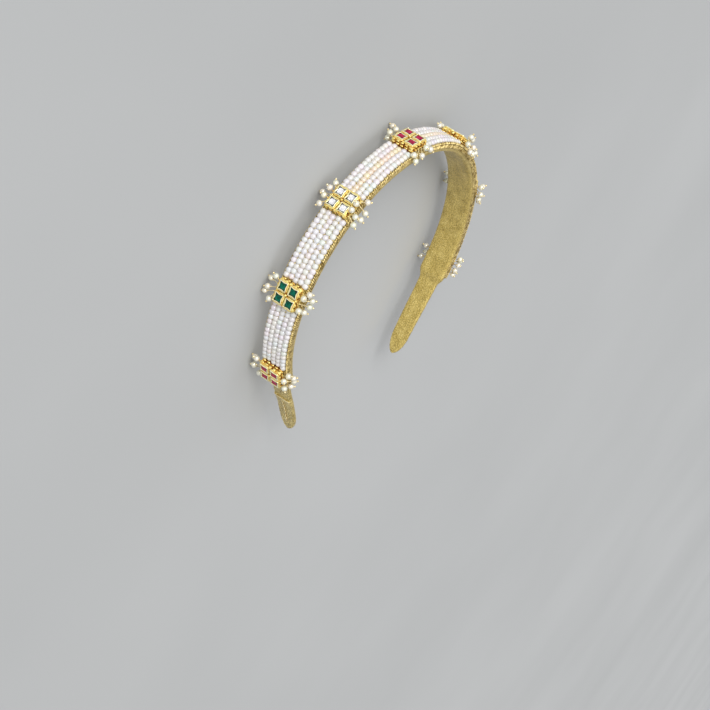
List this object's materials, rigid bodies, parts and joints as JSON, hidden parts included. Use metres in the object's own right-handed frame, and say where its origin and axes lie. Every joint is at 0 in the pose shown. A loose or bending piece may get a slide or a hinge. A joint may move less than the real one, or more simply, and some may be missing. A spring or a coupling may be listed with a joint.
{
  "type": "jeweled headband",
  "caption": "Rigid padded headband in gold cloth, paved with rows of seed pearls, with square gold jewels of coloured stones and pearl drops along both edges.",
  "frame": {"origin": "on the surface it lies on, under the middle of its bounding box", "axes": "+Z from the back edge it lies on to the front edge; +Y from the two tips towards the crown; X across the arch from tip to tip"},
  "size_m": [0.1462, 0.1494, 0.0258],
  "materials": {
    "olive_gold_cloth": "satin metallic weave",
    "gold_cord": "twisted bullion",
    "seed_pearl": "pearly gloss",
    "drop_pearl": "cream pearl gloss",
    "bright_gold": "polished gold plate",
    "ruby_glass": "foil-backed cut glass",
    "emerald_glass": "foil-backed cut glass",
    "clear_glass": "foil-backed cut glass"
  },
  "bodies": {
    "root": {"band": "olive_gold_cloth", "front_cord": "gold_cord", "back_cord": "gold_cord", "seed_pearls_1": "seed_pearl", "seed_pearls_2": "seed_pearl", "seed_pearls_3": "seed_pearl", "seed_pearls_4": "seed_pearl", "seed_pearls_5": "seed_pearl", "seed_pearls_6": "seed_pearl", "setting_1": "bright_gold", "stone_1_1": "ruby_glass", "stone_1_2": "ruby_glass", "stone_1_3": "ruby_glass", "stone_1_4": "ruby_glass", "front_drops_1": "drop_pearl", "back_drops_1": "drop_pearl", "setting_2": "bright_gold", "stone_2_1": "emerald_glass", "stone_2_2": "emerald_glass", "stone_2_3": "emerald_glass", "stone_2_4": "emerald_glass", "front_drops_2": "drop_pearl", "back_drops_2": "drop_pearl", "setting_3": "bright_gold", "stone_3_1": "clear_glass", "stone_3_2": "clear_glass", "stone_3_3": "clear_glass", "stone_3_4": "clear_glass", "front_drops_3": "drop_pearl", "back_drops_3": "drop_pearl", "setting_4": "bright_gold", "stone_4_1": "ruby_glass", "stone_4_2": "ruby_glass", "stone_4_3": "ruby_glass", "stone_4_4": "ruby_glass", "front_drops_4": "drop_pearl", "back_drops_4": "drop_pearl", "setting_5": "bright_gold", "stone_5_1": "clear_glass", "stone_5_2": "clear_glass", "stone_5_3": "clear_glass", "stone_5_4": "clear_glass", "front_drops_5": "drop_pearl", "back_drops_5": "drop_pearl", "setting_6": "bright_gold", "stone_6_1": "emerald_glass", "stone_6_2": "emerald_glass", "stone_6_3": "emerald_glass", "stone_6_4": "emerald_glass", "front_drops_6": "drop_pearl", "back_drops_6": "drop_pearl", "setting_7": "bright_gold", "stone_7_1": "ruby_glass", "stone_7_2": "ruby_glass", "stone_7_3": "ruby_glass", "stone_7_4": "ruby_glass", "front_drops_7": "drop_pearl", "back_drops_7": "drop_pearl"}
  },
  "joints": []
}
